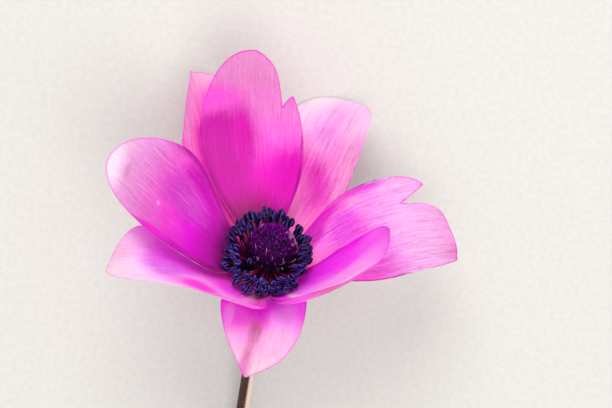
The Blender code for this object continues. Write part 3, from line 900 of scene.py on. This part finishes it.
def buildThreads():
    lines, steps = [], threadMake["steps"]
    for azimuth, height, length, turn, curl in threadMake["places"]:
        place = onDome(azimuth, height, threadMake["proud"])
        middle = Vector((0, 0, pistilMake["middle"]))
        out = (place - middle).normalized()
        side = Vector((0, 0, 1)).cross(out).normalized()
        over = out.cross(side)
        line = []
        for step in range(steps + 1):
            line.append(place.copy())
            angle = math.radians(turn + curl * step / steps)
            rise = threadMake["lift"] - threadMake["settle"] * step
            place = place + (side * math.cos(angle) + over * math.sin(angle) + out * rise) * (length / steps)
        lines.append(line)
    guide = guideLines("threadGuide", lines)
    material, net = newMaterial("paleThread")
    colour = net.mixColour(net.attribute("alongHair"), paint(190, 70, 150), paint(255, 190, 226))
    finishMaterial(net, {"Base Color": colour, "Roughness": 0.5, "Specular IOR Level": 0.1})
    threads = grow("paleThreads", guide, filamentTree(), {
        "Radius": threadMake["radius"] * mm, "Sides": threadMake["sides"], "Skin": material})
    drop(guide)
    return threads


def buildPistil():
    make = pistilMake
    around = make["around"]
    angles = np.linspace(0, 2 * math.pi, around, endpoint=False)
    heights = np.linspace(-math.pi / 3, math.pi / 2, make["rise"] + 1)[:-1]
    grid = domePoints(*np.meshgrid(angles, heights, indexing="xy"))
    stalk = [np.stack([make["stalkRadius"] * np.cos(angles), make["stalkRadius"] * np.sin(angles), 0 * angles + z], -1)
             for z in (make["stalkLow"], make["stalkHigh"])]
    rings = np.concatenate([np.stack(stalk), grid])
    points = np.concatenate([rings.reshape(-1, 3), [[0, 0, make["stalkLow"]], [0, 0, make["top"]]]])
    faces, at, nextAt = bandFaces(len(rings), around)
    faces += [(len(points) - 2, b, a) for a, b in zip(at[0], nextAt[0])]
    faces += [(len(points) - 1, a, b) for a, b in zip(at[-1], nextAt[-1])]
    flesh = pistilMaterial("pistilFlesh", (30, 0, 40), (30, 0, 40), (30, 0, 40))
    dome = newPiece("pistilDome", toWorld(points), faces, flesh)
    styleBed = newPiece("styleBed", toWorld(grid.reshape(-1, 3)), bandFaces(len(grid), around, make["bareRings"])[0])
    setNumbers(styleBed.data, "litCrown", smooth(make["litCrownLow"], make["litCrownHigh"], grid[..., 2]).ravel())
    style = spike("styleModel", make["styleLength"] * mm, make["styleRadius"] * mm, make["styleBow"] * mm,
                  knob=make["styleKnob"])
    styles = grow("styles", styleBed, bristles, {
        "Bristle": style, "Count per area": make["stylesPerArea"] * 1e6, "Length": 1.0,
        "Length spread": make["lengthSpread"], "Lean": make["lean"], "Seed": make["seed"],
        "Skin": pistilMaterial("style", (44, 0, 56), (30, 0, 42), (160, 8, 184))})
    drop(styleBed, style)
    threads = buildThreads()
    for piece in (dome, styles, threads):
        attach(piece, "root")
        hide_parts("pistil_head")
    return len(styles.data.polygons)


print("pistil head made", buildPistil())

# stem with silky hairs; the receptacle is (height, radius), a cut ring is (share of the radius, depth)
stemMake = {
    "length": 85.0, "radius": 1.35, "cutRadius": 1.5, "neckStraight": 7.0, "around": 40,
    "receptacle": ((-6.0, 1.4), (-3.2, 1.9), (-1.6, 2.7), (0.2, 2.9), (1.4, 2.8), (1.9, 2.2)),
    "headTop": 1.9, "headBottom": -6.0, "headRings": 30, "bendRings": 24, "restRings": 24,
    "darkRings": 8, "ribs": 4, "ribTurn": 0.3, "ribDepth": 0.035, "sunAngle": 0.5, "planLength": 20,
    "cutRings": ((0.97, -0.02), (0.8, 0.1), (0.45, 0.05)), "cutMiddle": 0.12, "floorGap": 0.00002,
    "firstHairRing": 14, "hairLength": 0.8, "hairRadius": 0.042, "hairBow": 0.35, "hairsPerArea": 10.0,
    "lengthSpread": 0.4, "lean": 0.7, "seed": 23,
}


def stemStations():
    # (middle, radius) down the stem: the receptacle, the bend down to the floor, and the part that lies on it
    axis = Vector((0, math.cos(headTilt), math.sin(headTilt)))
    centre = headPlace / mm
    heights, radii = zip(*stemMake["receptacle"])
    stations = [(centre + axis * height, float(np.interp(height, heights, radii)))
                for height in np.linspace(stemMake["headTop"], stemMake["headBottom"], stemMake["headRings"])]
    start = centre - axis * stemMake["neckStraight"]
    bend = (start.z - stemMake["cutRadius"]) / (1 - math.cos(headTilt))
    steps = stemMake["bendRings"]
    for step in range(steps + 1):
        slope = headTilt * (1 - step / steps)
        drift = Vector((0, -bend * (math.sin(headTilt) - math.sin(slope)),
                        -bend * (math.cos(slope) - math.cos(headTilt))))
        radius = stemMake["radius"] + (stemMake["cutRadius"] - stemMake["radius"]) * step / steps
        stations.append((start + drift, radius))
    rest = stemMake["length"] - stemMake["neckStraight"] - bend * headTilt
    last, steps = stations[-1][0], stemMake["restRings"]
    for step in range(1, steps + 1):
        stations.append((last + Vector((0, -rest * step / steps, 0)), stemMake["cutRadius"]))
    return stations


def stemMaterial():
    material, net = newMaterial("stemSkin")
    inObject = net.inObject()
    plan = net.add("ShaderNodeUVMap", {"uv_map": "stemPlan"}, {}, "UV")
    around = net.add("ShaderNodeSeparateXYZ", {}, {"Vector": plan}, "X")
    fibres = net.noise(net.vector(around * 26, net.other(around, "Y") * 8, 0.0), 1, 3, 0.6)
    clouds = net.noise(inObject, 220, 3)
    colour = net.mixColour(clouds.between(0.35, 0.65), paint(56, 28, 14), paint(84, 50, 30))
    colour = net.mixColour(fibres.between(0.5, 0.66) * 0.5, colour, paint(44, 18, 14))
    colour = net.mixColour(net.attribute("sunSide").between(0.74, 0.9) * 0.92, colour, paint(232, 206, 190))
    colour = net.mixColour(net.attribute("cutFace"), colour, paint(176, 178, 120))
    # dark purple at the top of the stem under the stamens: its own colour deepened as painted shade
    colour = net.mixColour(net.attribute("headTintAndShade"), colour, paint(30, 2, 36))
    finishMaterial(net, {"Base Color": colour, "Roughness": 0.6, "Specular IOR Level": 0.2, "Sheen Weight": 0.04,
                         "Normal": net.bump(fibres, 0.5, 0.00008)})
    return material


def hairMaterial():
    material, net = newMaterial("stemHair")
    colour = net.mixColour(net.attribute("tint"), paint(226, 196, 190), paint(250, 240, 232))
    finishMaterial(net, {"Base Color": colour, "Roughness": 0.45, "Sheen Weight": 0.2})
    return material


def buildStem():
    make = stemMake
    stations = stemStations()
    around, cutRings = make["around"], len(make["cutRings"])
    angles = np.linspace(0, 2 * math.pi, around, endpoint=False)
    ribs = 1 - make["ribDepth"] * np.abs(np.sin(angles * make["ribs"] + make["ribTurn"]))
    side = Vector((1, 0, 0))
    rings, plan = [], []
    total = 0.0
    for k, (centre, radius) in enumerate(stations):
        before = stations[max(k - 1, 0)][0]
        way = (stations[min(k + 1, len(stations) - 1)][0] - before).normalized()
        over = side.cross(way).normalized()  # upwards once the stem lies down
        if over.z < 0:
            over = -over
        total += (centre - before).length
        wide = radius * ribs
        level = np.array(centre)[None] + np.outer(wide * np.cos(angles), side)
        rings.append(level + np.outer(wide * np.sin(angles), over))
        plan.append(np.stack([angles / (2 * math.pi), 0 * angles + total / make["planLength"]], -1))
    points = np.concatenate(rings)
    count = len(rings)
    last = np.array(stations[-1][0])
    cut = [last + (rings[-1] - last) * share + np.array([0, depth, 0]) for share, depth in make["cutRings"]]
    points = np.concatenate([points, *cut, [last + (0, make["cutMiddle"], 0)], [np.array(stations[0][0])]]) * mm
    points[:, 2] = np.maximum(points[:, 2], make["floorGap"])
    faces, at, nextAt = bandFaces(count + cutRings, around, downwards=True)
    faces += [(len(points) - 2, b, a) for a, b in zip(at[-1], nextAt[-1])]
    faces += [(len(points) - 1, a, b) for a, b in zip(at[0], nextAt[0])]
    stem = newPiece("stemBody", points, faces, stemMaterial())

    def perRing(head, body, cutFace, middles):
        # a number for each ring's points, then for the middles of the cut and of the top
        rows = [head] * make["darkRings"] + [body] * (count - make["darkRings"]) + [cutFace] * cutRings
        return np.concatenate([np.repeat(rows, around), middles])

    sun = 0.5 + 0.5 * np.cos(angles - make["sunAngle"])
    setNumbers(stem.data, "sunSide", np.concatenate([np.tile(sun, count + cutRings), [0.5, 0.5]]))
    setNumbers(stem.data, "cutFace", perRing(0, 0, 1, [1, 0]))
    setNumbers(stem.data, "headTintAndShade", perRing(1, 0, 0, [0, 1]))
    setPlan(stem.data, "stemPlan", np.concatenate(plan + [plan[-1]] * cutRings + [[[0.5, 0.5], [0.5, 0]]]))
    first = make["firstHairRing"]
    bedFaces = bandFaces(count - first, around, downwards=True)[0]
    bed = newPiece("hairBed", points[first * around:count * around], bedFaces)
    hair = spike("hairModel", make["hairLength"] * mm, make["hairRadius"] * mm, make["hairBow"] * mm)
    hairs = grow("stemHairs", bed, bristles, {
        "Bristle": hair, "Count per area": make["hairsPerArea"] * 1e6, "Length": 1.0,
        "Length spread": make["lengthSpread"], "Lean": make["lean"], "Seed": make["seed"], "Skin": hairMaterial()})
    drop(bed, hair)
    for piece in (stem, hairs):
        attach(piece, "root")
        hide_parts("stem")
    return len(hairs.data.polygons)


print("stem made", buildStem())

# floor and light
stageMake = {"floorSize": 4.0, "world": 0.75}
lights = {
    "keyLight": dict(place=(-0.12, 0.55, 0.55), size=0.45, power=2.8, colour=(1.0, 0.99, 0.97)),
    "overheadLight": dict(place=(0.1, -0.1, 0.8), size=0.5, power=2.3, colour=(1.0, 1.0, 1.0)),
    "sideLight": dict(place=(0.6, -0.2, 0.3), size=0.3, power=0.5, colour=(1.0, 0.98, 0.98)),
}


def floorMaterial():
    material, net = newMaterial("floorPaper")
    grain = net.noise(net.inObject(), 900, 3)
    colour = net.mixColour(grain.between(0.3, 0.7), paint(206, 204, 199), paint(211, 209, 204))
    finishMaterial(net, {"Base Color": colour, "Roughness": 0.8, "Specular IOR Level": 0.2})
    return material


def softLight(name, place, size, power, colour):
    data = bpy.data.lights.new(name, "AREA")
    data.shape, data.size, data.energy, data.color = "DISK", size, power, colour
    light = bpy.data.objects.new(name, data)
    towards = (headPlace - Vector(place)).to_track_quat("-Z", "Y").to_matrix().to_4x4()
    light.matrix_world = Matrix.Translation(place) @ towards
    scene.collection.objects.link(light)


half = stageMake["floorSize"] / 2
corners = [(-half, -half, 0), (half, -half, 0), (half, half, 0), (-half, half, 0)]
floor = newPiece("floor", corners, [(0, 1, 2, 3)], floorMaterial())
for name, light in lights.items():
    softLight(name, **light)
world = bpy.data.worlds.new("studio")
world.use_nodes = True
world.node_tree.nodes["Background"].inputs["Color"].default_value = (1, 1, 1, 1)
world.node_tree.nodes["Background"].inputs["Strength"].default_value = stageMake["world"]
scene.world = world
scene.view_settings.view_transform = "Standard"
print("light and camera made")
